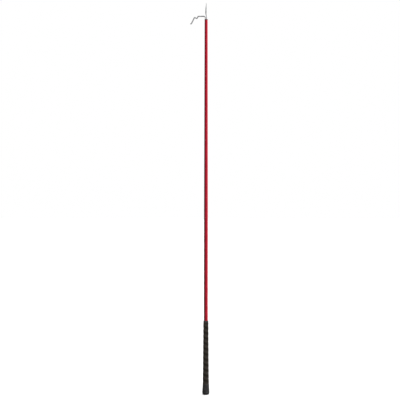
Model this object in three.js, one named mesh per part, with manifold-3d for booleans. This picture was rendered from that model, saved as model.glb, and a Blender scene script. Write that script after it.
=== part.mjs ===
// Livestock show stick: a long tapered tube with a wrapped grip at its lower end
// and two chromed rods at its tip, one bent into a hook and one straight.
// Millimetres, +Z up. The stick stands on the flat base of its butt cap, with the
// origin at the centre of that base. The hook reaches towards -X, in the XZ plane.

import * as THREE from 'three';
import { mergeVertices } from 'three/addons/utils/BufferGeometryUtils.js';
import Module from 'manifold-3d';

const wasm = await Module();
wasm.setup();

// ---------------------------------------------------------------- driving dimensions

const OVERALL_HEIGHT = 1524; // 60 inches, base to the end of the straight rod
const FIT_GAP = 0.1; // radial clearance between parts that slide over each other

// Tube: nearly parallel under the grip and above it, then an even taper to the tip
const TUBE_BOTTOM = 5.3;
const TUBE_TOP = 1457.4;
const TAPER_START = 664;
const TUBE_BUTT_RADIUS = 7.85;
const TAPER_START_RADIUS = 7.65;
const TUBE_TIP_RADIUS = 6.0;
const TUBE_WALL = 0.9;
const TUBE_EDGE_CHAMFER = 0.25;

// Chromed rods: 3/16 inch wire, side by side in the bore
const ROD_RADIUS = 2.38;
const ROD_OFFSET = 2.5; // from the stick's axis to each rod's axis, inside the bore
const ROD_BOTTOM = 1412;

// Corners of each rod's axis as [x, z, bend radius], from the bore to the far end
const HOOK_CORNERS = [
  [-ROD_OFFSET, ROD_BOTTOM],
  [-ROD_OFFSET, 1471.8, 6],
  [-31.0, 1471.8, 3.4],
  [-36.8, 1460.4, 3.4],
  [-43.5, 1470.4, 3.4],
  [-57.0, 1443.4, 3.4],
  [-61.6, 1441.4],
];
const POINT_CORNERS = [
  [ROD_OFFSET, ROD_BOTTOM],
  [ROD_OFFSET, 1467.5, 12],
  [-0.8, 1484.5, 12],
  [0.6, OVERALL_HEIGHT],
];
const HOOK_END_ROUND = 2; // length of the hook's rounded end
const POINT_LENGTH = 24; // length of the straight rod's conical point
const POINT_TIP = { radius: 0.6, length: 0.5 }; // the point's blunt tip

// Tip bushing: a domed flange on the tube's end and two wedge legs between the rods
const FLANGE_RADIUS = 6.2;
const FLANGE_HEIGHT = 2.6;
const FLANGE_SIDE_HEIGHT = 1.3;
const FLANGE_FLAT_RADIUS = 4.6;
const BUSHING_LEG_LENGTH = 22;

// Grip: outside radius at each height, from the butt cap's rim to the mouth
const GRIP_STATIONS = [
  { z: 41, radius: 12.3 },
  { z: 57, radius: 12.0 },
  { z: 96, radius: 11.6 },
  { z: 174, radius: 11.0 },
  { z: 251, radius: 10.35 },
  { z: 284, radius: 9.75 },
];
const GRIP_MOUTH = 287.6;
const WRAP_BOTTOM = 41.3;
const WRAP_TOP = 279;
const WRAP_PITCH = 20.6;
const WRAP_SEAM = 0.5; // open seam between one turn and the next
const WRAP_THICKNESS = 1.0;
const WRAP_EDGE_THICKNESS = 0.45;
const TAPE_BOTTOM = 8;
const TAPE_TOP = 276;
const TAPE_THICKNESS = 0.15;

// Grip sleeve: a spigot at each end fits inside the cap and the mouth collar
const CAP_SPIGOT_RADIUS = 9.8;
const MOUTH_SPIGOT_RADIUS = 8.6;
const MOUTH_SPIGOT_TOP = 283.4;

// Mouth collar
const COLLAR_CHAMFER = 0.5; // at its lower edge
const COLLAR_LIP_ROUND = 1.1;

// Butt cap: flat base with a vent hole, a rounded bell and a skirt over the sleeve
const CAP_BASE_RADIUS = 9.3;
const CAP_BELL_RADIUS = 13.95;
const CAP_BELL_HEIGHT = 9.5;
const CAP_SHOULDER = { z: 17, radius: 13.7 };
const CAP_WAIST = { z: 26, radius: 13.15 };
const CAP_RIM_RADIUS = 12.35;
const CAP_RIM_ROUND = 0.6;
const CAP_TOP = 41;
const CAP_FLOOR = 5;
const VENT_RADIUS = 1.25;

// Facets
const AROUND = 36; // around a turned part
const ROD_AROUND = 12; // around a rod
const ROD_STEP = 1.75; // along a rod
const PASSAGE_AROUND = 24; // around a rod's passage in the bushing
const WRAP_AROUND = 20; // in one turn of the wrap
const CURVE_STEPS = 3; // in each curve of an outline

const WELD_DISTANCE = 1e-4;
const CUTTER_CLEARANCE = 1; // how far a cutter stands clear of what it cuts

const FINISHES = {
  shaftRed: { color: 0xb3182c, roughness: 0.25, metalness: 0.65 },
  rodChrome: { color: 0xd8dadc, roughness: 0.12, metalness: 1 },
  bushingBlack: { color: 0x141414, roughness: 0.45, metalness: 0 },
  tapeCream: { color: 0xd9d3c3, roughness: 0.8, metalness: 0 },
  sleeveRubber: { color: 0x1b1a1a, roughness: 0.8, metalness: 0 },
  wrapBlack: { color: 0x2a2521, roughness: 0.6, metalness: 0 },
  collarRubber: { color: 0x33302f, roughness: 0.55, metalness: 0 },
  capRubber: { color: 0x232122, roughness: 0.5, metalness: 0 },
};

// ---------------------------------------------------------------- helpers

// Turns an outline of (radius, height) about the Z axis.
function turned(outline) {
  const geometry = new THREE.LatheGeometry(outline.getPoints(CURVE_STEPS), AROUND);
  return geometry.rotateX(Math.PI / 2);
}

// A closed outline in (radius, height) from a list of corners.
function ring(corners) {
  const points = corners.map(([radius, height]) => new THREE.Vector2(radius, height));
  return new THREE.Path([...points, points[0]]);
}

// A geometry as a solid that can be cut and joined.
function solid(geometry) {
  const bare = geometry.clone();
  bare.deleteAttribute('normal');
  bare.deleteAttribute('uv');
  const merged = mergeVertices(bare, WELD_DISTANCE);
  return new wasm.Manifold(new wasm.Mesh({
    numProp: 3,
    vertProperties: new Float32Array(merged.attributes.position.array),
    triVerts: new Uint32Array(merged.index.array),
  }));
}

// A solid back as a geometry.
function geometryOf(body) {
  const mesh = body.getMesh();
  const geometry = new THREE.BufferGeometry();
  geometry.setAttribute('position', new THREE.BufferAttribute(mesh.vertProperties, 3));
  geometry.setIndex(new THREE.BufferAttribute(mesh.triVerts, 1));
  geometry.computeVertexNormals();
  return geometry;
}

// A named part with a material of its own.
function part(name, geometry, finish) {
  const mesh = new THREE.Mesh(geometry, new THREE.MeshStandardMaterial(finish));
  mesh.name = name;
  return mesh;
}

// The tube's outside radius at a height.
function tubeRadiusAt(z) {
  if (z < TAPER_START) {
    return THREE.MathUtils.mapLinear(z, TUBE_BOTTOM, TAPER_START, TUBE_BUTT_RADIUS, TAPER_START_RADIUS);
  }
  return THREE.MathUtils.mapLinear(z, TAPER_START, TUBE_TOP, TAPER_START_RADIUS, TUBE_TIP_RADIUS);
}

// The grip's outside radius at a height, straight between its stations.
function gripRadiusAt(z) {
  const last = GRIP_STATIONS.length - 2;
  let i = 0;
  while (i < last && z > GRIP_STATIONS[i + 1].z) {
    i += 1;
  }
  const [low, high] = [GRIP_STATIONS[i], GRIP_STATIONS[i + 1]];
  return THREE.MathUtils.mapLinear(z, low.z, high.z, low.radius, high.radius);
}

// ---------------------------------------------------------------- tube

function shaftTube() {
  const chamferBase = TUBE_TOP - TUBE_EDGE_CHAMFER;
  const outline = ring([
    [TUBE_BUTT_RADIUS - TUBE_WALL, TUBE_BOTTOM],
    [TUBE_BUTT_RADIUS, TUBE_BOTTOM],
    [tubeRadiusAt(GRIP_MOUTH), GRIP_MOUTH],
    [TAPER_START_RADIUS, TAPER_START],
    [tubeRadiusAt(chamferBase), chamferBase],
    [TUBE_TIP_RADIUS - TUBE_EDGE_CHAMFER, TUBE_TOP],
    [TUBE_TIP_RADIUS - TUBE_WALL, TUBE_TOP],
    [TAPER_START_RADIUS - TUBE_WALL, TAPER_START],
  ]);
  return part('shaft_tube', turned(outline), FINISHES.shaftRed);
}

// ---------------------------------------------------------------- chromed rods

// A flat outline stood up in the XZ plane.
class StandingCurve extends THREE.Curve {
  constructor(flat) {
    super();
    this.flat = flat;
  }

  getPoint(t) {
    const { x, y } = this.flat.getPoint(t);
    return new THREE.Vector3(x, 0, y);
  }
}

// A route in the XZ plane through corners of (x, z, bend radius): straight runs joined
// by round bends. The first and last corners have no bend.
function bentRoute(corners) {
  const points = corners.map(([x, z]) => new THREE.Vector2(x, z));
  const route = new THREE.Path().moveTo(points[0].x, points[0].y);
  for (let i = 1; i < points.length - 1; i += 1) {
    const radius = corners[i][2];
    const arriving = points[i].clone().sub(points[i - 1]).normalize();
    const leaving = points[i + 1].clone().sub(points[i]).normalize();
    const side = Math.sign(arriving.cross(leaving));
    const setBack = radius * Math.tan(Math.acos(arriving.dot(leaving)) / 2);
    const bendStart = points[i].clone().addScaledVector(arriving, -setBack);
    const toCentre = new THREE.Vector2(-arriving.y, arriving.x).multiplyScalar(side * radius);
    const centre = bendStart.clone().add(toCentre);
    const from = arriving.angle() - (side * Math.PI) / 2;
    const to = leaving.angle() - (side * Math.PI) / 2;
    route.lineTo(bendStart.x, bendStart.y);
    route.absarc(centre.x, centre.y, radius, from, to, side < 0);
  }
  const last = points.at(-1);
  return new StandingCurve(route.lineTo(last.x, last.y));
}

// A round rod along a route.
function rodAlong(route) {
  const section = new THREE.Shape().absarc(0, 0, ROD_RADIUS, 0, 2 * Math.PI);
  return new THREE.ExtrudeGeometry(section, {
    steps: Math.ceil(route.getLength() / ROD_STEP),
    curveSegments: ROD_AROUND / 2,
    bevelEnabled: false,
    extrudePath: route,
  });
}

// Shapes a rod's far end: what lies outside the outline, turned about the rod's axis,
// is cut away. The outline runs from the tip at (0, 0) out and back to (radius, -height).
function withShapedEnd(geometry, route, outline) {
  const shape = outline.getPoints(CURVE_STEPS);
  const room = ROD_RADIUS + CUTTER_CLEARANCE;
  const cutter = new THREE.LatheGeometry([
    ...shape,
    new THREE.Vector2(room, shape.at(-1).y),
    new THREE.Vector2(room, CUTTER_CLEARANCE),
    new THREE.Vector2(0, CUTTER_CLEARANCE),
  ], ROD_AROUND);
  const end = route.getPointAt(1);
  const up = new THREE.Vector3(0, 1, 0);
  const turn = new THREE.Quaternion().setFromUnitVectors(up, route.getTangentAt(1));
  cutter.applyQuaternion(turn).translate(end.x, end.y, end.z);
  return geometryOf(solid(geometry).subtract(solid(cutter)));
}

// The hook: out of the bore, over to -X, through a dip and a hump, and down to a short,
// flared end.
function hookRod() {
  const route = bentRoute(HOOK_CORNERS);
  const roundEnd = new THREE.Path();
  roundEnd.absellipse(
    0, -HOOK_END_ROUND,
    ROD_RADIUS + FIT_GAP, HOOK_END_ROUND,
    Math.PI / 2, 0, true,
  );
  const geometry = withShapedEnd(rodAlong(route), route, roundEnd);
  return part('hook_rod', geometry, FINISHES.rodChrome);
}

// The straight rod: out of the bore, a slight joggle over to the axis, then a long cone
// with a blunt tip.
function pointRod() {
  const route = bentRoute(POINT_CORNERS);
  const cone = new THREE.Path();
  cone.quadraticCurveTo(POINT_TIP.radius, 0, POINT_TIP.radius, -POINT_TIP.length);
  cone.lineTo(ROD_RADIUS + FIT_GAP, -POINT_LENGTH);
  const geometry = withShapedEnd(rodAlong(route), route, cone);
  return part('point_rod', geometry, FINISHES.rodChrome);
}

// ---------------------------------------------------------------- tip bushing

// A turned plug with a figure-of-eight passage for the two rods, which leaves two
// wedge-shaped legs between the rods and the bore.
function tipBushing() {
  const seat = TUBE_TOP + FIT_GAP;
  const top = seat + FLANGE_HEIGHT;
  const bottom = seat - BUSHING_LEG_LENGTH;
  const legRadius = TUBE_TIP_RADIUS - TUBE_WALL - 2 * FIT_GAP;
  const outline = new THREE.Path();
  outline.moveTo(0, bottom);
  outline.lineTo(legRadius, bottom);
  outline.lineTo(legRadius, seat);
  outline.lineTo(FLANGE_RADIUS, seat);
  outline.lineTo(FLANGE_RADIUS, seat + FLANGE_SIDE_HEIGHT);
  outline.quadraticCurveTo(FLANGE_RADIUS, top, FLANGE_FLAT_RADIUS, top);
  outline.lineTo(0, top);

  const middle = (bottom + top) / 2;
  const length = top - bottom + 2 * CUTTER_CLEARANCE;
  const passageRadius = ROD_RADIUS + FIT_GAP;
  const passage = new THREE.CylinderGeometry(passageRadius, passageRadius, length, PASSAGE_AROUND);
  passage.rotateX(Math.PI / 2);
  const hookPassage = passage.clone().translate(-ROD_OFFSET, 0, middle);
  const pointPassage = passage.clone().translate(ROD_OFFSET, 0, middle);
  const web = new THREE.BoxGeometry(2 * ROD_OFFSET, ROD_RADIUS, length).translate(0, 0, middle);
  let body = solid(turned(outline));
  for (const cutter of [hookPassage, pointPassage, web]) {
    body = body.subtract(solid(cutter));
  }
  return part('tip_bushing', geometryOf(body), FINISHES.bushingBlack);
}

// ---------------------------------------------------------------- grip

const tapeInside = TUBE_BUTT_RADIUS + FIT_GAP;
const tapeOutside = tapeInside + TAPE_THICKNESS;
const sleeveInside = tapeOutside + FIT_GAP;

// Double-sided tape wound around the tube, under the sleeve.
function gripTape() {
  const outline = ring([
    [tapeInside, TAPE_BOTTOM],
    [tapeOutside, TAPE_BOTTOM],
    [tapeOutside, TAPE_TOP],
    [tapeInside, TAPE_TOP],
  ]);
  return part('grip_tape', turned(outline), FINISHES.tapeCream);
}

// Rubber sleeve that the strip is wound on, with a spigot at each end.
function gripSleeve() {
  const bodyBottom = WRAP_BOTTOM;
  const bodyTop = WRAP_TOP + FIT_GAP;
  const underWrap = (z) => gripRadiusAt(z) - WRAP_THICKNESS - 2 * FIT_GAP;
  const between = GRIP_STATIONS.filter(({ z }) => z > bodyBottom && z < bodyTop);
  const outline = ring([
    [sleeveInside, TUBE_BOTTOM],
    [CAP_SPIGOT_RADIUS, TUBE_BOTTOM],
    [CAP_SPIGOT_RADIUS, bodyBottom],
    [underWrap(bodyBottom), bodyBottom],
    ...between.map(({ z }) => [underWrap(z), z]),
    [underWrap(bodyTop), bodyTop],
    [MOUTH_SPIGOT_RADIUS, bodyTop],
    [MOUTH_SPIGOT_RADIUS, MOUTH_SPIGOT_TOP],
    [sleeveInside, MOUTH_SPIGOT_TOP],
  ]);
  return part('grip_sleeve', turned(outline), FINISHES.sleeveRubber);
}

// One crowned strip wound up the sleeve as a left-handed helix, its ends cut square
// to the stick at the cap and at the collar.
function gripWrap() {
  const halfWidth = (WRAP_PITCH - WRAP_SEAM) / 2;
  const section = new THREE.Shape();
  section.moveTo(-halfWidth, 0);
  section.lineTo(halfWidth, 0);
  section.lineTo(halfWidth, WRAP_EDGE_THICKNESS);
  section.quadraticCurveTo(0, 2 * WRAP_THICKNESS - WRAP_EDGE_THICKNESS, -halfWidth, WRAP_EDGE_THICKNESS);
  const turns = (WRAP_TOP - WRAP_BOTTOM) / WRAP_PITCH + 1;
  const strip = new THREE.ExtrudeGeometry(section, {
    depth: turns,
    steps: Math.ceil(turns * WRAP_AROUND),
    curveSegments: CURVE_STEPS,
    bevelEnabled: false,
  });

  // In the flat strip, x runs across it, y through it and z along it, in turns.
  const position = strip.attributes.position;
  const start = WRAP_BOTTOM - WRAP_PITCH / 2;
  for (let i = 0; i < position.count; i += 1) {
    const height = start + WRAP_PITCH * position.getZ(i) - position.getX(i);
    const radius = gripRadiusAt(height) - WRAP_THICKNESS + position.getY(i);
    const angle = -2 * Math.PI * position.getZ(i);
    position.setXYZ(i, radius * Math.cos(angle), radius * Math.sin(angle), height);
  }

  const room = 2 * CAP_BELL_RADIUS;
  const trim = new THREE.CylinderGeometry(room, room, WRAP_TOP - WRAP_BOTTOM);
  trim.rotateX(Math.PI / 2).translate(0, 0, (WRAP_BOTTOM + WRAP_TOP) / 2);
  const trimmed = solid(strip).intersect(solid(trim));
  return part('grip_wrap', geometryOf(trimmed), FINISHES.wrapBlack);
}

// Collar over the end of the strip at the mouth, with a rounded lip.
function gripCollar() {
  const bottom = WRAP_TOP + 3 * FIT_GAP;
  const bottomRadius = gripRadiusAt(bottom);
  const socketRadius = MOUTH_SPIGOT_RADIUS + FIT_GAP;
  const socketTop = MOUTH_SPIGOT_TOP + 2 * FIT_GAP;
  const lipRadius = GRIP_STATIONS.at(-1).radius;
  const lipInside = tubeRadiusAt(GRIP_MOUTH) + 2 * FIT_GAP;
  const lipHeight = GRIP_MOUTH - COLLAR_LIP_ROUND;
  const outline = new THREE.Path();
  outline.moveTo(socketRadius, bottom);
  outline.lineTo(bottomRadius - COLLAR_CHAMFER, bottom);
  outline.lineTo(bottomRadius, bottom + COLLAR_CHAMFER);
  outline.lineTo(lipRadius, lipHeight);
  outline.absarc(lipRadius - COLLAR_LIP_ROUND, lipHeight, COLLAR_LIP_ROUND, 0, Math.PI / 2, false);
  outline.lineTo(lipInside, GRIP_MOUTH);
  outline.lineTo(lipInside, socketTop);
  outline.lineTo(socketRadius, socketTop);
  outline.lineTo(socketRadius, bottom);
  return part('grip_collar', turned(outline), FINISHES.collarRubber);
}

// Butt cap: its bell-shaped wall closes the stick's end and grips the sleeve's spigot.
function buttCap() {
  const socketRadius = CAP_SPIGOT_RADIUS + FIT_GAP;
  const outline = new THREE.Path();
  outline.moveTo(VENT_RADIUS, CAP_FLOOR);
  outline.lineTo(VENT_RADIUS, 0);
  outline.lineTo(CAP_BASE_RADIUS, 0);
  outline.absellipse(
    CAP_BASE_RADIUS, CAP_BELL_HEIGHT,
    CAP_BELL_RADIUS - CAP_BASE_RADIUS, CAP_BELL_HEIGHT,
    -Math.PI / 2, 0, false,
  );
  outline.splineThru([
    new THREE.Vector2(CAP_SHOULDER.radius, CAP_SHOULDER.z),
    new THREE.Vector2(CAP_WAIST.radius, CAP_WAIST.z),
    new THREE.Vector2(CAP_RIM_RADIUS, CAP_TOP - CAP_RIM_ROUND),
  ]);
  outline.lineTo(CAP_RIM_RADIUS - CAP_RIM_ROUND, CAP_TOP);
  outline.lineTo(socketRadius, CAP_TOP);
  outline.lineTo(socketRadius, CAP_FLOOR);
  outline.lineTo(VENT_RADIUS, CAP_FLOOR);
  return part('butt_cap', turned(outline), FINISHES.capRubber);
}

// ---------------------------------------------------------------- assembly

const showStick = new THREE.Group();
showStick.name = 'show_stick';
showStick.add(
  shaftTube(),
  hookRod(),
  pointRod(),
  tipBushing(),
  gripTape(),
  gripSleeve(),
  gripWrap(),
  gripCollar(),
  buttCap(),
);

export default showStick;
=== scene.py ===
"""A livestock show stick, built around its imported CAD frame: metres, +Z up, hook towards -X.

Every piece stands for one CAD node and takes its place, radius and heights from it.
"""

import math

import bpy
import numpy as np
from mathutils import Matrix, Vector


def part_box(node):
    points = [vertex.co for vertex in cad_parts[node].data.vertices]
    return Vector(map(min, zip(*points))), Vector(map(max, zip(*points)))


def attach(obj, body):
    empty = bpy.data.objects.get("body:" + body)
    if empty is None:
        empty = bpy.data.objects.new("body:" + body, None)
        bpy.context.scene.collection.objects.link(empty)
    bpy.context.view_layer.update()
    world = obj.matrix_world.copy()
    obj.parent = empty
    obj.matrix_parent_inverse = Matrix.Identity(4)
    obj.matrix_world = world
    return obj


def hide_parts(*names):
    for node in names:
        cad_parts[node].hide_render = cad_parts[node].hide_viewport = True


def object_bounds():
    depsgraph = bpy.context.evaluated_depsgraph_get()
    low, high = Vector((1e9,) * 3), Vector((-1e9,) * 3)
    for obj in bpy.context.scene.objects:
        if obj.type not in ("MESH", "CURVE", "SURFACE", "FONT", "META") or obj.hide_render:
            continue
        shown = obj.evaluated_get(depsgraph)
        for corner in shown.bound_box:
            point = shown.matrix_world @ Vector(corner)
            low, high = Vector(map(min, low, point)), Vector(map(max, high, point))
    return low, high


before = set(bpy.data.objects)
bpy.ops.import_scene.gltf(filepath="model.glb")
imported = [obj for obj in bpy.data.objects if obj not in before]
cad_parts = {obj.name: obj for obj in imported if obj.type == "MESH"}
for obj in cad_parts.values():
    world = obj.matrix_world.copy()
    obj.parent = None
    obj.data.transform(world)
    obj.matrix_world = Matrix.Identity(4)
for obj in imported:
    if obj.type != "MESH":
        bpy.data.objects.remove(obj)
cad_low, cad_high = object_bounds()

MM = 0.001
BODY = "root"
SHARP_ANGLE = math.radians(38)  # a fold sharper than this is shaded as an edge
HEIGHT_DECIMALS, SAME_HEIGHT = 6, 1e-6  # how closely CAD heights are told apart
WELD_DISTANCE = 1e-7  # points closer than this become one
TINY = 1e-9  # slack for comparing lengths and shares

# Points around each kind of piece
AROUND = 128
TUBE_AROUND = 112
SLEEVE_AROUND = 96
BUSHING_AROUND = 144
ROD_AROUND = 48
WRAP_STEPS_PER_TURN = 144
TAPE_STEPS_PER_TURN = 72

# ------------------------------------------------------------------ reading the CAD frame


def levels_of(node, pick):
    """Heights of a turned CAD node, lowest first, and the radius that pick takes at each."""
    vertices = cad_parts[node].data.vertices
    points = np.array([v.co for v in vertices], float).reshape(-1, 3)
    radius = np.hypot(points[:, 0], points[:, 1])
    heights = sorted(set(np.round(points[:, 2], HEIGHT_DECIMALS)))
    return heights, [pick(radius[np.abs(points[:, 2] - z) < SAME_HEIGHT]) for z in heights]


def outside_of(node):
    """Heights and outside radii of a turned CAD node, lowest first."""
    return levels_of(node, np.max)


def inside_of(node):
    """Heights and inside radii of a turned CAD node, lowest first."""
    return levels_of(node, np.min)


# ------------------------------------------------------------------ making meshes


def finish_piece(name, vertices, faces, material, node, sharp=SHARP_ANGLE):
    """A smooth-shaded piece that stands for one CAD node and rides on the body."""
    mesh = bpy.data.meshes.new(name)
    mesh.from_pydata([tuple(v) for v in vertices], [], faces)
    mesh.validate()
    mesh.shade_smooth()
    mesh.set_sharp_from_angle(angle=sharp)
    mesh.materials.append(material)
    piece = bpy.data.objects.new(name, mesh)
    bpy.context.scene.collection.objects.link(piece)
    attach(piece, BODY)
    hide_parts(node)
    return piece


def skin(rings, closed=False, cap_start=False, cap_end=False):
    """Vertices and faces of a skin over closed rings, each ring joined to the next.

    With closed, the last ring joins the first. A cap is a fan to the ring's middle."""
    count = len(rings[0])
    vertices = [p for ring in rings for p in ring]
    faces = []
    pairs = len(rings) if closed else len(rings) - 1
    for i in range(pairs):
        low, high = i * count, ((i + 1) % len(rings)) * count
        for j in range(count):
            k = (j + 1) % count
            faces.append((low + j, low + k, high + k, high + j))
    for wanted, start in ((cap_start, 0), (cap_end, (len(rings) - 1) * count)):
        if not wanted:
            continue
        middle = len(vertices)
        ring = np.array(vertices[start:start + count], float)
        vertices.append(tuple(ring.mean(0)))
        for j in range(count):
            edge = (start + j, start + (j + 1) % count)
            faces.append((middle, *(reversed(edge) if start == 0 else edge)))
    return vertices, faces


def welded(vertices, faces):
    """The same skin with coinciding points made one, without the faces that this flattens."""
    numbers, kept, new_number = {}, [], []
    for vertex in vertices:
        key = tuple(round(c / WELD_DISTANCE) for c in vertex)
        if key not in numbers:
            numbers[key] = len(kept)
            kept.append(vertex)
        new_number.append(numbers[key])
    rings = [[new_number[i] for i in face] for face in faces]
    rings = [tuple(n for k, n in enumerate(ring) if n != ring[k - 1]) for ring in rings]
    return kept, [ring for ring in rings if len(ring) > 2]


def turned(profile, around=AROUND):
    """Rings around the Z axis for a profile of (radius, height)."""
    turns = [2 * math.pi * k / around for k in range(around)]
    return [[(r * math.cos(a), r * math.sin(a), z) for a in turns] for r, z in profile]


def arc(centre, radius, start, end, steps=8):
    """Points on an arc of a circle or ellipse, from one angle to another in degrees.

    radius is a number or (along r, along z)."""
    across, up = radius if isinstance(radius, tuple) else (radius, radius)
    angles = [math.radians(start + (end - start) * k / steps) for k in range(steps + 1)]
    return [(centre[0] + across * math.cos(a), centre[1] + up * math.sin(a)) for a in angles]


def smooth_line(points, steps):
    """A Catmull-Rom curve through points of any length, with steps between each two."""
    p = [np.array(q, float) for q in points]
    p = [2 * p[0] - p[1]] + p + [2 * p[-1] - p[-2]]
    out = []
    for i in range(1, len(p) - 2):
        for k in range(steps):
            t = k / steps
            a, b, c, d = p[i - 1:i + 3]
            squared, cubed = 2 * a - 5 * b + 4 * c - d, 3 * b - a - 3 * c + d
            out.append(tuple(0.5 * (2 * b + (c - a) * t + squared * t * t + cubed * t ** 3)))
    out.append(tuple(p[-2]))
    return out


# ------------------------------------------------------------------ materials


class Finish:
    """A Principled material. Constant values go straight on the shader's sockets, and only
    what varies over the surface comes from nodes."""

    def __init__(self, name, **constants):
        self.material = bpy.data.materials.new(name)
        self.material.use_nodes = True
        self.tree = self.material.node_tree
        self.surface = self.tree.nodes["Principled BSDF"]
        for socket, value in constants.items():
            self.surface.inputs[socket.replace("_", " ")].default_value = value
        self.place = self.tree.nodes.new("ShaderNodeTexCoord").outputs["Object"]

    def feed(self, socket, value):
        """Links an output to a socket, or sets a plain value on it."""
        if isinstance(value, bpy.types.NodeSocket):
            self.tree.links.new(value, socket)
        else:
            socket.default_value = value

    def stretched(self, scale):
        """Object coordinates, scaled by (x, y, z) per metre."""
        node = self.tree.nodes.new("ShaderNodeMapping")
        node.inputs["Scale"].default_value = scale
        self.feed(node.inputs["Vector"], self.place)
        return node.outputs["Vector"]

    def noise(self, scale, detail=3.0, roughness=0.55):
        """Cloudy noise. scale is features per metre, as one number or (x, y, z)."""
        node = self.tree.nodes.new("ShaderNodeTexNoise")
        if isinstance(scale, tuple):
            self.feed(node.inputs["Vector"], self.stretched(scale))
            scale = 1.0
        else:
            self.feed(node.inputs["Vector"], self.place)
        node.inputs["Scale"].default_value = scale
        node.inputs["Detail"].default_value = detail
        node.inputs["Roughness"].default_value = roughness
        return node.outputs["Fac"]

    def cells(self, scale, feature="F1"):
        """Voronoi cells, scale of them per metre: the distance that feature names."""
        node = self.tree.nodes.new("ShaderNodeTexVoronoi")
        node.feature = feature
        self.feed(node.inputs["Vector"], self.place)
        node.inputs["Scale"].default_value = scale
        return node.outputs["Distance"]

    def ramp(self, value, low, high, to_low=0.0, to_high=1.0):
        """Maps low..high of a value to to_low..to_high, smoothly and clamped."""
        node = self.tree.nodes.new("ShaderNodeMapRange")
        node.interpolation_type = "SMOOTHSTEP"
        limits = (("From Min", low), ("From Max", high), ("To Min", to_low), ("To Max", to_high))
        for socket, number in limits:
            node.inputs[socket].default_value = number
        self.feed(node.inputs["Value"], value)
        return node.outputs["Result"]

    def maths(self, operation, a, b):
        node = self.tree.nodes.new("ShaderNodeMath")
        node.operation = operation
        self.feed(node.inputs[0], a)
        self.feed(node.inputs[1], b)
        return node.outputs["Value"]

    def times(self, a, b):
        return self.maths("MULTIPLY", a, b)

    def plus(self, a, b):
        return self.maths("ADD", a, b)

    def blend(self, share, first, second):
        """A colour between two colours."""
        node = self.tree.nodes.new("ShaderNodeMix")
        node.data_type = "RGBA"
        self.feed(node.inputs["Factor"], share)
        for socket, colour in ((node.inputs["A"], first), (node.inputs["B"], second)):
            self.feed(socket, (*colour, 1.0) if isinstance(colour, tuple) else colour)
        return node.outputs["Result"]

    def painted(self, name):
        """A number that the mesh holds at each point."""
        node = self.tree.nodes.new("ShaderNodeAttribute")
        node.attribute_name = name
        return node.outputs["Fac"]

    def height(self):
        """Height above the stick's base, in metres."""
        node = self.tree.nodes.new("ShaderNodeSeparateXYZ")
        self.feed(node.inputs["Vector"], self.place)
        return node.outputs["Z"]

    def near(self, point, reach):
        """1 around a point, falling to 0 over the last part of reach."""
        node = self.tree.nodes.new("ShaderNodeVectorMath")
        node.operation = "DISTANCE"
        self.feed(node.inputs[0], self.place)
        node.inputs[1].default_value = point
        return self.ramp(node.outputs["Value"], 0.6 * reach, reach, 1.0, 0.0)

    def look(self, colour, roughness, *bumps):
        """Colour, roughness and a chain of bumps, each (height, strength, depth in metres)."""
        self.feed(self.surface.inputs["Base Color"], colour)
        self.feed(self.surface.inputs["Roughness"], roughness)
        normal = None
        for height, strength, depth in bumps:
            node = self.tree.nodes.new("ShaderNodeBump")
            node.inputs["Strength"].default_value = strength
            node.inputs["Distance"].default_value = depth
            self.feed(node.inputs["Height"], height)
            if normal is not None:
                self.feed(node.inputs["Normal"], normal)
            normal = node.outputs["Normal"]
        self.feed(self.surface.inputs["Normal"], normal)
        return self.material


def red_metallic():
    """Candy red over aluminium, under a clear coat: draw lines, faint flake and tip wear."""
    f = Finish("red_metallic", Metallic=1.0, Coat_Weight=0.3, Coat_Roughness=0.07)
    deep, light, glint = (0.60, 0.008, 0.028), (0.72, 0.014, 0.042), (0.86, 0.05, 0.09)
    drawn, bare_metal = (0.45, 0.004, 0.018), (0.74, 0.73, 0.72)
    worn_length, most_worn = 30 * MM, 0.22
    _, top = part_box("shaft_tube")
    clouds = f.noise(38, 4)
    lines = f.noise((1500, 1500, 7), 2)
    flake = f.cells(4200)
    red = f.blend(f.ramp(clouds, 0.3, 0.7), deep, light)
    red = f.blend(f.ramp(flake, 0.0, 0.5, 0.0, 0.18), red, glint)
    red = f.blend(f.ramp(lines, 0.45, 0.8, 0.0, 0.22), red, drawn)
    near_tip = f.ramp(f.height(), top.z - worn_length, top.z, 0.0, most_worn)
    nicks = f.times(f.ramp(f.noise((700, 700, 260), 5, 0.7), 0.66, 0.72), near_tip)
    colour = f.blend(nicks, red, bare_metal)
    rough = f.plus(f.ramp(clouds, 0.3, 0.75, 0.2, 0.29), f.ramp(lines, 0.5, 0.8, 0.0, 0.06))
    line_bump = (lines, 0.10, 0.02 * MM)
    paint_ripple = (f.noise(520, 2), 0.12, 0.01 * MM)
    return f.look(colour, rough, line_bump, paint_ripple)


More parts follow.
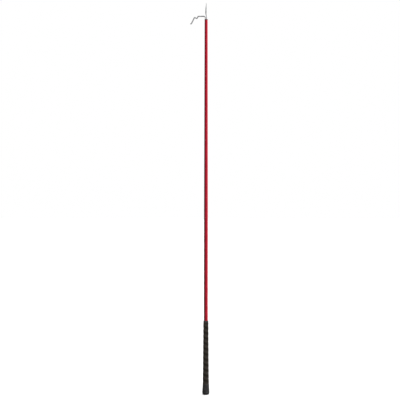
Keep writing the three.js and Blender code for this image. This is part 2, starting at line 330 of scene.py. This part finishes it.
def chrome(name, ripple_scale, bright, dull):
    """Bright plate over wire: slow ripple from bending and polishing, hairlines, dull spots.

    The last two arguments are each a (place, reach): around the first the plate is painted lighter as
    a painted highlight, around the second it is painted greyer as a painted dark reflection."""
    f = Finish(name, Metallic=1.0)
    plate, polished = (0.56, 0.57, 0.58), (0.69, 0.70, 0.71)
    # The first two colours on the next line are a painted highlight and a painted dark reflection; the
    # third is dull spots.
    highlight_plate, dark_reflection_plate, spotted = (0.95, 0.955, 0.96), (0.36, 0.36, 0.37), (0.42, 0.42, 0.42)
    ripple = f.noise(ripple_scale, 3)
    hairlines = f.noise((900, 2600, 90), 4, 0.65)
    spots = f.ramp(f.noise(640, 5, 0.7), 0.62, 0.74)
    colour = f.blend(f.ramp(ripple, 0.25, 0.75), plate, polished)
    # Painted dark reflection: greyer plate around one place.
    colour = f.blend(f.times(f.near(*dull), 0.7), colour, dark_reflection_plate)
    # Painted highlight: lighter plate around another place.
    colour = f.blend(f.near(*bright), colour, highlight_plate)
    colour = f.blend(f.times(spots, 0.45), colour, spotted)
    rough = f.plus(f.ramp(hairlines, 0.4, 0.8, 0.15, 0.27), f.times(spots, 0.16))
    return f.look(colour, rough, (ripple, 0.16, 0.06 * MM), (hairlines, 0.12, 0.01 * MM))


def moulded_black(name, tone, grain, gloss, bell=None):
    """Moulded black rubber or plastic: fine tool grain and bloom in patches.

    gloss is the middle of its roughness. With bell, the height of a cap's widest place, it gets
    rub marks painted lighter around there as a painted highlight, and painted shade below it."""
    f = Finish(name, Specular_IOR_Level=0.22)
    # Colours of the painted shade below a cap's widest place and of the painted highlight around it.
    painted_shade, painted_highlight = (0.004, 0.004, 0.004), (0.055, 0.054, 0.053)
    bloom = f.noise(85, 5, 0.6)
    pits = f.noise(grain, 3, 0.6)
    bloomed = tuple(min(1.0, 1.9 * c + 0.006) for c in tone)
    colour = f.blend(f.ramp(bloom, 0.35, 0.75), tone, bloomed)
    pitted = f.ramp(pits, 0.3, 0.7, gloss - 0.06, gloss + 0.06)
    rough = f.plus(pitted, f.ramp(bloom, 0.4, 0.8, 0.0, 0.12))
    if bell is not None:
        # Painted shade: darker below the widest place.
        shade_below_bell = f.ramp(f.height(), 0.5 * bell, 0.72 * bell, 0.95, 0.0)
        colour = f.blend(shade_below_bell, colour, painted_shade)
        # Painted highlight: lighter rub marks around the widest place.
        band = f.times(f.ramp(f.height(), 0.6 * bell, 0.85 * bell),
                       f.ramp(f.height(), 0.9 * bell, 1.15 * bell, 1.0, 0.0))
        marks = f.times(f.ramp(f.noise((420, 420, 900), 5, 0.7), 0.42, 0.62), band)
        colour = f.blend(marks, colour, painted_highlight)
        rough = f.plus(rough, f.times(marks, 0.2))
    return f.look(colour, rough, (pits, 0.35, 0.05 * MM), (bloom, 0.15, 0.12 * MM))


def wrap_leather():
    """Black-brown wrap strip: pebbled grain, a painted highlight below each seam where the strip faces
    the light from above, and painted shade in the seams, holes and grain creases.
    """
    f = Finish("wrap_leather", Specular_IOR_Level=0.1)
    # The third colour is the painted highlight.
    dark, brown, painted_highlight = (0.009, 0.0072, 0.0058), (0.018, 0.0145, 0.0115), (0.060, 0.0505, 0.0415)
    # Colours of painted shade in the grain's creases and in the holes.
    crease_shade, hole = (0.010, 0.008, 0.006), (0.006, 0.005, 0.004)
    pebbles_per_metre = 1350
    pebbles = f.cells(pebbles_per_metre)
    creases = f.cells(pebbles_per_metre, "DISTANCE_TO_EDGE")
    blotches = f.noise(140, 5, 0.65)
    colour = f.blend(f.ramp(blotches, 0.3, 0.75), dark, brown)
    # Painted highlight on the upper part of each strip, where the light from above falls.
    painted_light = f.times(f.painted("painted_light"), f.ramp(f.noise(260, 4), 0.3, 0.65, 0.55, 1.0))
    colour = f.blend(painted_light, colour, painted_highlight)
    # Painted shade in the grain's creases.
    colour = f.blend(f.ramp(creases, 0.0, 0.09, 0.55, 0.0), colour, crease_shade)
    # Painted shade in the seams and holes.
    colour = f.blend(f.painted("hollow"), colour, hole)
    rough = f.plus(f.ramp(blotches, 0.3, 0.8, 0.50, 0.66), f.times(painted_light, -0.13))
    pebble_bump, crease_bump = (pebbles, 0.35, 0.10 * MM), (creases, 0.3, 0.06 * MM)
    return f.look(colour, rough, pebble_bump, crease_bump, (blotches, 0.2, 0.15 * MM))


def paper_tape():
    """Cream double-sided tape: paper fibres and small crinkles."""
    f = Finish("paper_tape", Specular_IOR_Level=0.3)
    cream, pale = (0.66, 0.61, 0.49), (0.78, 0.74, 0.63)
    fibres = f.noise((1400, 1400, 220), 5, 0.7)
    crinkle = f.noise(190, 4, 0.6)
    colour = f.blend(f.ramp(fibres, 0.3, 0.75), cream, pale)
    rough = f.ramp(crinkle, 0.3, 0.7, 0.6, 0.8)
    return f.look(colour, rough, (fibres, 0.3, 0.03 * MM), (crinkle, 0.4, 0.08 * MM))


# ------------------------------------------------------------------ tube


def shaft_tube():
    """The long tapered tube: a rounded edge at each end, and a fine ring every few millimetres."""
    low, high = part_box("shaft_tube")
    heights, radii = outside_of("shaft_tube")
    wall = radii[0] - inside_of("shaft_tube")[1][0]
    side_heights, side_radii = heights[:-1], radii[:-1]  # the last height is the tip's chamfer
    edge = 0.22 * MM
    ring_spacing, rings_per_inner_ring = 6 * MM, 12

    def outer(z):
        return float(np.interp(z, side_heights, side_radii))

    levels = np.arange(low.z + edge, high.z - edge, ring_spacing)
    profile = arc((outer(low.z) - edge, low.z + edge), edge, -90, 0, 4)
    profile += [(outer(z), z) for z in levels[1:]]
    profile += arc((outer(high.z) - edge, high.z - edge), edge, 0, 90, 5)
    profile += arc((outer(high.z) - wall + edge, high.z - edge), edge, 90, 180, 4)
    profile += [(outer(z) - wall, z) for z in levels[-2:0:-rings_per_inner_ring]]
    profile += arc((outer(low.z) - wall + edge, low.z + edge), edge, 180, 270, 4)
    vertices, faces = skin(turned(profile, TUBE_AROUND), closed=True)
    return finish_piece("tube", vertices, faces, red_metallic(), "shaft_tube")


# ------------------------------------------------------------------ chromed rods


def bent_route(corners):
    """Points and directions along straight runs and round bends in the XZ plane.

    A corner is (x, z, bend radius); the first and last have radius 0."""
    straight_step, turn_step = 1.5 * MM, math.radians(6)
    at = [Vector((x, 0, z)) for x, z, _ in corners]
    points, tangents = [at[0]], [(at[1] - at[0]).normalized()]
    for i in range(1, len(at)):
        into = (at[i] - at[i - 1]).normalized()
        radius = corners[i][2]
        turn, set_back = 0.0, 0.0
        if radius:
            onward = (at[i + 1] - at[i]).normalized()
            turn = into.angle(onward)
            set_back = radius * math.tan(turn / 2)
        start, stop = points[-1], at[i] - into * set_back
        runs = max(1, round((stop - start).length / straight_step))
        for k in range(1, runs + 1):
            points.append(start.lerp(stop, k / runs))
            tangents.append(into)
        if not radius:
            continue
        inwards = (onward - into * onward.dot(into)).normalized()
        centre = stop + inwards * radius
        bends = max(2, math.ceil(turn / turn_step))
        for k in range(1, bends + 1):
            a = turn * k / bends
            points.append(centre + (into * math.sin(a) - inwards * math.cos(a)) * radius)
            tangents.append(into * math.cos(a) + inwards * math.sin(a))
    return points, tangents


# Rings over a rod's shaped end, as shares of its length, closer together towards the tip
END_SHARES = (1.0, 0.9, 0.8, 0.7, 0.6, 0.5, 0.4, 0.32, 0.25, 0.18, 0.12, 0.07, 0.03, 0.01)


def rod(name, node, corners, radius, end_radius_at, end_length, material):
    """A round rod along a route. Its last end_length has the radius end_radius_at(distance)."""
    last_ring, cut = 0.02 * MM, 0.3 * MM
    points, tangents = bent_route(corners)
    last, forward = points[-1], tangents[-1]
    keep = [i for i, p in enumerate(points) if (last - p).length > end_length]
    points, tangents = [points[i] for i in keep], [tangents[i] for i in keep]
    radii = [radius] * len(points)
    for share in END_SHARES:
        back = end_length * share
        points.append(last - forward * back)
        tangents.append(forward)
        radii.append(min(radius, end_radius_at(back)))
    points.append(last)
    tangents.append(forward)
    radii.append(last_ring)

    # a small round at the near end, where the wire was cut
    first, upwards = points[0], tangents[0]
    points = [first, first + upwards * 0.35 * cut, first + upwards * cut] + points[1:]
    tangents = [upwards] * 3 + tangents[1:]
    radii = [radius - cut, radius - 0.3 * cut, radius] + radii[1:]

    depth = Vector((0, 1, 0))
    turns = [2 * math.pi * k / ROD_AROUND for k in range(ROD_AROUND)]
    rings = []
    for p, t, r in zip(points, tangents, radii):
        across = depth.cross(t)
        rings.append([tuple(p + (across * math.cos(a) + depth * math.sin(a)) * r) for a in turns])
    vertices, faces = skin(rings, cap_start=True, cap_end=True)
    return finish_piece(name, vertices, faces, material, node)


def hook_rod():
    """Out of the bore, over to -X, through a dip and a hump, down, and out again at the end."""
    low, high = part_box("hook_rod")
    radius = (high.y - low.y) / 2
    bore_x, run_z = high.x - radius, high.z - radius
    bore_bend, wave_bend = 6 * MM, 3.4 * MM
    corners = [
        (bore_x, low.z, 0),
        (bore_x, run_z, bore_bend),
        (-31.0 * MM, run_z, wave_bend),
        (-36.8 * MM, run_z - 11.4 * MM, wave_bend),
        (-43.5 * MM, run_z - 1.4 * MM, wave_bend),
        (-57.0 * MM, run_z - 28.4 * MM, wave_bend),
        (-61.6 * MM, run_z - 30.4 * MM, 0),
    ]
    round_length, round_radius = 2 * MM, 2.6 * MM

    def round_end(back):
        return round_radius * math.sqrt(max(0.0, 1 - (1 - back / round_length) ** 2))

    # Painted highlight on the plate by the tube, and a painted dark reflection on the run.
    highlight_by_tube = ((bore_x, 0, run_z - 9 * MM), 12 * MM)
    dark_reflection_on_run = ((-13 * MM, 0, run_z), 8 * MM)
    material = chrome("hook_chrome", 150, highlight_by_tube, dark_reflection_on_run)
    return rod("hook", "hook_rod", corners, radius, round_end, round_length, material)


def point_rod():
    """Out of the bore, a slight joggle over the axis, then straight up to a blunt point."""
    low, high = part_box("point_rod")
    radius = (high.y - low.y) / 2
    bore_x, easy_bend = high.x - radius, 12 * MM
    corners = [
        (bore_x, low.z, 0),
        (bore_x, high.z - 56.5 * MM, easy_bend),
        (-0.8 * MM, high.z - 39.5 * MM, easy_bend),
        (0.6 * MM, high.z, 0),
    ]
    nose_radius, nose_length, cone_length = 0.6 * MM, 0.5 * MM, 23.0 * MM

    def blunt_point(back):
        if back < nose_length:
            return nose_radius * math.sqrt(max(0.0, 1 - (1 - back / nose_length) ** 2))
        along = (back - nose_length) / (cone_length - nose_length)
        return nose_radius + (radius - nose_radius) * along

    # Painted highlight on the plate by the tube, and a painted dark reflection above the joggle.
    highlight_by_tube = ((bore_x, 0, high.z - 62 * MM), 24 * MM)
    dark_reflection_above_joggle = ((-0.8 * MM, 0, high.z - 38 * MM), 8 * MM)
    material = chrome("point_chrome", 110, highlight_by_tube, dark_reflection_above_joggle)
    return rod("point", "point_rod", corners, radius, blunt_point, cone_length, material)


# ------------------------------------------------------------------ tip bushing


def tip_bushing():
    """A domed flange with a figure-of-eight hole, and two wedge legs down into the bore."""
    low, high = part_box("tip_bushing")
    hook_low, hook_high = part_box("hook_rod")
    rod_radius = (hook_high.y - hook_low.y) / 2
    offset = -(hook_high.x - rod_radius)
    fit_gap = 0.1 * MM
    hole, web = rod_radius + fit_gap, rod_radius / 2
    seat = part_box("shaft_tube")[1].z + fit_gap
    flange, leg, least_leg = high.x, 4.9 * MM, 0.02 * MM
    dome_across, dome_height, least_flat = 1.5 * MM, 1.3 * MM, 0.05 * MM
    chamfer, chamfer_depth, foot_chamfer = 0.25 * MM, 0.35 * MM, 0.2 * MM
    rim_drop = 0.02 * MM  # the hole's rim lies this far under the dome's top
    dome_middle = (flange - dome_across, high.z - dome_height)

    def hole_radius(a):
        """How far the hole reaches from the axis in one direction."""
        reach = 0.0
        room = hole ** 2 - (offset * math.sin(a)) ** 2
        if room > 0:
            reach = offset * abs(math.cos(a)) + math.sqrt(room)
        rise = abs(math.sin(a))
        if rise > TINY and web * (abs(math.cos(a)) / rise) <= offset:
            reach = max(reach, web / rise)
        return reach

    columns = []
    for k in range(BUSHING_AROUND):
        a = 2 * math.pi * k / BUSHING_AROUND
        inner = hole_radius(a)
        has_leg = leg - inner > least_leg
        leg_outer = leg if has_leg else inner
        leg_bottom = low.z if has_leg else seat
        rim = min(inner + chamfer, flange - dome_across - least_flat)
        column = [(inner, high.z - chamfer_depth), (rim, high.z - rim_drop)]
        column += [(max(r, rim), z) for r, z in arc(dome_middle, (dome_across, dome_height), 90, 0, 8)]
        column += [(flange, seat + foot_chamfer), (flange - foot_chamfer, seat)]
        column += [(leg_outer, seat), (leg_outer, leg_bottom), (inner, leg_bottom), (inner, seat)]
        columns.append([(r * math.cos(a), r * math.sin(a), z) for r, z in reversed(column)])
    rings = list(zip(*columns))
    vertices, faces = welded(*skin(rings, closed=True))
    material = moulded_black("bushing_plastic", (0.016, 0.016, 0.017), 1500, 0.4)
    return finish_piece("bushing", vertices, faces, material, "tip_bushing")


# ------------------------------------------------------------------ grip


EDGE_SHARES = (0.0, 0.12, 0.3, 0.6)  # points over a strip's rounded edge
LEAST_WIDTH = 0.6 * MM  # a strip cut narrower than this ends
LIGHTEST_AT = 0.06  # where a strip's painted highlight is strongest, as a share of its width from its upper edge

# Holes: how many points in from each edge, and from one to the next across and along
HOLE_MARGIN, HOLE_COLUMNS, HOLE_STEPS = 3, 5, 6
HOLE_DEPTH = 0.26 * MM


def is_hole(column, columns, step):
    """Whether a strip has a hole at one of its points. Every other row is staggered."""
    if not HOLE_MARGIN <= column <= columns - HOLE_MARGIN or (column - HOLE_MARGIN) % HOLE_COLUMNS:
        return False
    stagger = HOLE_STEPS // 2 * ((column - HOLE_MARGIN) // HOLE_COLUMNS % 2)
    return (step + stagger) % HOLE_STEPS == 0


def wound_strip(bottom, top, pitch, seam, floor_at, relief, steps_per_turn, step_across, holes=False):
    """A strip wound up the stick as a left-handed helix, its ends cut square to the stick.

    floor_at(z) is the radius under it. relief has its thickness at the crown and at the edge,
    and how far in the edge is rounded. Returns rings, and for each point how much painted
    highlight it gets and how much painted shade it gets from lying in a hollow."""
    crown_height, edge_height, rounding = relief
    half = (pitch - seam) / 2
    turns = (top - bottom) / pitch + 1
    inner_count = round(2 * (half - rounding) / step_across)
    rings, painted_light, hollows = [], [], []
    for i in range(math.ceil(turns * steps_per_turn) + 1):
        turn = i / steps_per_turn
        middle = bottom - pitch / 2 + pitch * turn
        start, end = max(-half, bottom - middle), min(half, top - middle)
        if end - start < LEAST_WIDTH:
            continue
        whole = end - start > 2 * half - TINY
        round_in = min(rounding, (end - start) / 4)
        across = [start + round_in * s for s in EDGE_SHARES]
        span = end - start - 2 * round_in
        across += [start + round_in + span * k / inner_count for k in range(inner_count + 1)]
        across += [end - round_in * s for s in reversed(EDGE_SHARES)]
        angle = -2 * math.pi * turn
        direction = (math.cos(angle), math.sin(angle))
        ring = []
        for j, u in enumerate(across):
            inside = min(u - start, end - u)
            bulge = 1 - (u / half) ** 2
            height = edge_height + (crown_height - edge_height) * bulge
            height *= math.sqrt(max(0.0, 1 - (1 - min(1.0, inside / round_in)) ** 2))
            # Painted shade near the strip's edges, where the seams are, and in the holes.
            hollow = max(0.0, 1 - inside / (2 * rounding)) * 0.8
            if holes and whole and is_hole(j - len(EDGE_SHARES), inner_count, i):
                height -= HOLE_DEPTH
                hollow = 1.0
            z = middle + u
            r = floor_at(z) + height
            ring.append((r * direction[0], r * direction[1], z))
            down = (half - u) / (2 * half)  # 0 at the strip's upper edge, 1 at its lower edge
            # Painted highlight: strongest just below the strip's upper edge, which faces the light
            # from above.
            painted_light.append(0.5 + 0.5 * math.cos(2 * math.pi * (down - LIGHTEST_AT)))
            hollows.append(hollow)
        # The underside is all painted shade.
        for share in (0.75, 0.5, 0.25):  # back along the underside
            z = middle + start + (end - start) * share
            r = floor_at(z)
            ring.append((r * direction[0], r * direction[1], z))
            painted_light.append(0.0)
            hollows.append(1.0)
        rings.append(ring)
    return rings, painted_light, hollows


def paint(piece, name, values):
    """Stores a number at each point. Points past the end of the list get 0."""
    attribute = piece.data.attributes.new(name, "FLOAT", "POINT")
    values = values + [0.0] * (len(piece.data.vertices) - len(values))
    attribute.data.foreach_set("value", values)


def grip_wrap():
    """The strip on the outside of the grip: crowned, perforated, with an open seam."""
    low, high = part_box("grip_wrap")
    heights, radii = outside_of("grip_sleeve")
    gap = 0.08 * MM

    def floor_at(z):
        return float(np.interp(z, heights[1:-2], radii[1:-2])) + gap

    pitch, seam, step_across = 20.6 * MM, 0.5 * MM, 0.5 * MM
    relief = (1.12 * MM, 0.45 * MM, 0.45 * MM)
    sharp = math.radians(75)  # so that the holes stay soft
    rings, painted_light, hollows = wound_strip(low.z, high.z, pitch, seam, floor_at, relief,
                                       WRAP_STEPS_PER_TURN, step_across, holes=True)
    vertices, faces = skin(rings, cap_start=True, cap_end=True)
    piece = finish_piece("wrap", vertices, faces, wrap_leather(), "grip_wrap", sharp)
    # The painted highlight and the painted shade of each point.
    paint(piece, "painted_light", painted_light)
    paint(piece, "hollow", hollows)
    return piece


def grip_tape():
    """Double-sided tape wound around the tube under the sleeve."""
    low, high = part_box("grip_tape")
    inner = min(inside_of("grip_tape")[1])
    thickness = high.x - inner
    pitch, seam, step_across = 26 * MM, 0.6 * MM, 3.5 * MM
    relief = (thickness, 0.9 * thickness, 0.12 * MM)
    rings, _, _ = wound_strip(low.z, high.z, pitch, seam, lambda z: inner, relief,
                              TAPE_STEPS_PER_TURN, step_across)
    vertices, faces = skin(rings, cap_start=True, cap_end=True)
    return finish_piece("tape", vertices, faces, paper_tape(), "grip_tape")


def grip_sleeve():
    """The rubber sleeve under the strip, with a stepped spigot at each end."""
    heights, radii = outside_of("grip_sleeve")
    _, bores = inside_of("grip_sleeve")
    edge, mouth_edge = 0.25 * MM, 0.15 * MM
    outer_spacing, bore_spacing = 4 * MM, 20 * MM
    bore, cap_spigot, mouth_spigot = bores[0], radii[0], radii[-1]
    body_low, body_high = heights[1], heights[-2]
    profile = arc((cap_spigot - edge, heights[0] + edge), edge, -90, 0, 3)
    profile += [(cap_spigot, body_low), (radii[1] - edge, body_low)]
    profile += [(float(np.interp(z, heights[1:-1], radii[1:-1])), z)
                for z in np.arange(body_low + edge, body_high - edge, outer_spacing)]
    profile += [(radii[-2], body_high), (mouth_spigot, body_high)]
    profile += arc((mouth_spigot - mouth_edge, heights[-1] - mouth_edge), mouth_edge, 0, 90, 3)
    profile += [(bore, heights[-1])]
    inner_levels = np.arange(heights[-1] - bore_spacing, heights[0] + bore_spacing / 2, -bore_spacing)
    profile += [(bore, z) for z in inner_levels]
    profile += [(bore, heights[0])]
    vertices, faces = skin(turned(profile, SLEEVE_AROUND), closed=True)
    material = moulded_black("sleeve_rubber_matt", (0.012, 0.012, 0.012), 900, 0.75)
    return finish_piece("sleeve", vertices, faces, material, "grip_sleeve")


def grip_collar():
    """The band over the strip's upper end: a shallow groove and a rounded lip."""
    low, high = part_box("grip_collar")
    _, inside = inside_of("grip_collar")
    socket, mouth = inside[0], inside[-1]
    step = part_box("grip_sleeve")[1].z + 0.2 * MM
    outer, lip = high.x, high.x - 0.09 * MM
    lip_round, foot_round, mouth_round = 1.2 * MM, 0.5 * MM, 0.3 * MM
    groove_z, groove_start = low.z + 2.2 * MM, 0.5 * MM
    groove_depth, groove_width, groove_steps = 0.22 * MM, 0.8 * MM, 6
    profile = arc((outer - foot_round, low.z + foot_round), foot_round, -80, 0, 5)
    profile += [(outer, groove_z - groove_start)]
    for k in range(groove_steps + 1):
        hollow = groove_depth * math.sin(math.pi * k / groove_steps) ** 2
        profile.append((outer - hollow, groove_z + (k / groove_steps - 0.5) * groove_width))
    profile += arc((lip - lip_round, high.z - lip_round), lip_round, 0, 90, 10)
    profile += arc((mouth + mouth_round, high.z - mouth_round), mouth_round, 90, 180, 4)
    profile += [(mouth, step), (socket, step), (socket, low.z)]
    vertices, faces = skin(turned(profile), closed=True)
    material = moulded_black("collar_rubber_satin", (0.030, 0.027, 0.026), 1100, 0.46)
    return finish_piece("collar", vertices, faces, material, "grip_collar")


def butt_cap():
    """The flared cap: a flat base with a ring and a vent hole, a bell and a thin rim."""
    _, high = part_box("butt_cap")
    heights, radii = outside_of("butt_cap")
    _, inside = inside_of("butt_cap")
    vent, socket = inside[0], inside[-1]
    floor = min(heights, key=lambda z: abs(z - 5 * MM))
    bell = high.x
    bell_z = heights[radii.index(max(radii))]
    base = radii[0]
    waist = [(r, z) for z, r in zip(heights, radii) if z >= bell_z and z < high.z - 0.3 * MM]
    ring_r, ring_half, ring_depth, ring_steps = 6.6 * MM, 0.45 * MM, 0.3 * MM, 8
    vent_chamfer, floor_chamfer, rim, socket_round = 0.3 * MM, 0.2 * MM, 0.5 * MM, 0.3 * MM
    socket_spacing = 6 * MM
    profile = [(vent, floor - floor_chamfer), (vent, vent_chamfer), (vent + vent_chamfer, 0.0)]
    for k in range(ring_steps + 1):
        depth = ring_depth * math.sin(math.pi * k / ring_steps) ** 2
        profile.append((ring_r + ring_half * (k / (ring_steps / 2) - 1), depth))
    profile += arc((base, bell_z), (bell - base, bell_z), -90, 0, 22)
    profile += smooth_line(waist, 3)[1:]
    profile += arc((waist[-1][0] - rim, high.z - rim), rim, 15, 90, 5)
    profile += arc((socket + socket_round, high.z - socket_round), socket_round, 90, 180, 3)
    inner_levels = np.arange(high.z - socket_spacing, floor + 2 * MM, -socket_spacing)
    profile += [(socket, z) for z in inner_levels]
    profile += [(socket, floor), (vent + floor_chamfer, floor)]
    vertices, faces = skin(turned(profile), closed=True)
    tone = (0.017, 0.0165, 0.017)
    material = moulded_black("cap_rubber_satin", tone, 1000, 0.42, bell=9.5 * MM)
    return finish_piece("cap", vertices, faces, material, "butt_cap")


shaft_tube()
hook_rod()
point_rod()
tip_bushing()
grip_tape()
grip_sleeve()
grip_wrap()
grip_collar()
butt_cap()

# ------------------------------------------------------------------ floor, light and camera


def floor():
    """A wide, pale, matt floor under the stick. It takes shadows, but the stick doesn't mirror it."""
    reach = 40.0
    mesh = bpy.data.meshes.new("floor")
    corners = [(-reach, -reach, 0), (reach, -reach, 0), (reach, reach, 0), (-reach, reach, 0)]
    mesh.from_pydata(corners, [], [(0, 1, 2, 3)])
    plane = bpy.data.objects.new("floor", mesh)
    bpy.context.scene.collection.objects.link(plane)
    f = Finish("pale_floor", Specular_IOR_Level=0.0)
    patches = f.noise(3, 4)
    colour = f.blend(f.ramp(patches, 0.3, 0.7), (0.80, 0.80, 0.80), (0.81, 0.81, 0.81))
    mesh.materials.append(f.look(colour, 0.9, (patches, 0.02, 1 * MM)))
    plane.visible_glossy = False
    plane.visible_diffuse = False


def lamp(name, place, energy, degrees):
    """A soft distant light, so many degrees wide, that the glossy pieces don't mirror.

    It shines from its place to the origin."""
    light = bpy.data.lights.new(name, "SUN")
    light.energy = energy
    light.angle = math.radians(degrees)
    holder = bpy.data.objects.new(name, light)
    holder.location = place
    holder.rotation_euler = (Vector() - Vector(place)).to_track_quat("-Z", "Y").to_euler()
    holder.visible_glossy = False
    bpy.context.scene.collection.objects.link(holder)


# How bright the studio is all round, as (degrees from the camera's side towards +X, brightness)
SURROUND = ((-180, 0.5), (-168, 0.08), (-120, 0.06), (-90, 0.08), (-60, 0.2), (-30, 0.38), (0, 0.45),
            (30, 0.50), (60, 0.64), (85, 0.95), (120, 1.0), (165, 1.0), (180, 0.5))


def studio():
    """What lights the stick: dark towards -X, bright towards +X, and brighter above than below.

    The camera itself sees plain white behind the stick."""
    world = bpy.data.worlds.new("studio")
    bpy.context.scene.world = world
    world.use_nodes = True
    tree = world.node_tree
    tree.nodes.clear()
    place = tree.nodes.new("ShaderNodeTexCoord").outputs["Generated"]
    turn = tree.nodes.new("ShaderNodeMapping")
    turn.inputs["Rotation"].default_value[2] = math.pi / 2
    tree.links.new(place, turn.inputs["Vector"])
    angle = tree.nodes.new("ShaderNodeTexGradient")
    angle.gradient_type = "RADIAL"
    tree.links.new(turn.outputs["Vector"], angle.inputs["Vector"])
    ramp = tree.nodes.new("ShaderNodeValToRGB")
    ramp.color_ramp.interpolation = "EASE"
    stops = ramp.color_ramp.elements
    while len(stops) < len(SURROUND):
        stops.new(0.5)
    for stop, (degrees, brightness) in zip(stops, SURROUND):
        stop.position = degrees / 360 + 0.5
        stop.color = (brightness, brightness, brightness, 1)
    tree.links.new(angle.outputs["Fac"], ramp.inputs["Fac"])
    split = tree.nodes.new("ShaderNodeSeparateXYZ")
    tree.links.new(place, split.inputs["Vector"])
    height = tree.nodes.new("ShaderNodeMapRange")
    below, above = 0.4, 1.75
    limits = (("From Min", -1.0), ("From Max", 1.0), ("To Min", below), ("To Max", above))
    for socket, number in limits:
        height.inputs[socket].default_value = number
    tree.links.new(split.outputs["Z"], height.inputs["Value"])
    surround = tree.nodes.new("ShaderNodeBackground")
    tree.links.new(ramp.outputs["Color"], surround.inputs["Color"])
    tree.links.new(height.outputs["Result"], surround.inputs["Strength"])
    white = tree.nodes.new("ShaderNodeBackground")
    white.inputs["Color"].default_value = (1, 1, 1, 1)
    white.inputs["Strength"].default_value = 1.0
    seen = tree.nodes.new("ShaderNodeLightPath")
    either = tree.nodes.new("ShaderNodeMixShader")
    tree.links.new(seen.outputs["Is Camera Ray"], either.inputs["Fac"])
    tree.links.new(surround.outputs["Background"], either.inputs[1])
    tree.links.new(white.outputs["Background"], either.inputs[2])
    output = tree.nodes.new("ShaderNodeOutputWorld")
    tree.links.new(either.outputs["Shader"], output.inputs["Surface"])
    lamp("overhead", (0, 0, 5), 2.2, 100)
    lamp("key", (0.8, -4, 1.2), 1.3, 60)
    lamp("back_fill", (-0.8, 4, 1.2), 0.9, 40)
    bpy.context.scene.view_settings.view_transform = "Standard"


def camera():
    """Level, square on to the hook's plane, far away, so that the stick fills the frame's height."""
    middle = (cad_low + cad_high) / 2
    sensor, lens, roll = 36.0, 100.0, math.radians(0.055)
    across, down = 23.35 * MM, 5.1 * MM  # how far off the stick's middle the photo looks
    framed_height = 1.0215 * (cad_high.z - cad_low.z)
    eye = bpy.data.cameras.new("camera")
    eye.sensor_width = sensor
    eye.lens = lens
    eye.clip_end = 200
    holder = bpy.data.objects.new("camera", eye)
    holder.location = (-across, -framed_height * lens / sensor, middle.z - down)
    holder.rotation_euler = (math.pi / 2, -roll, 0)
    bpy.context.scene.collection.objects.link(holder)
    bpy.context.scene.camera = holder


floor()
studio()
camera()
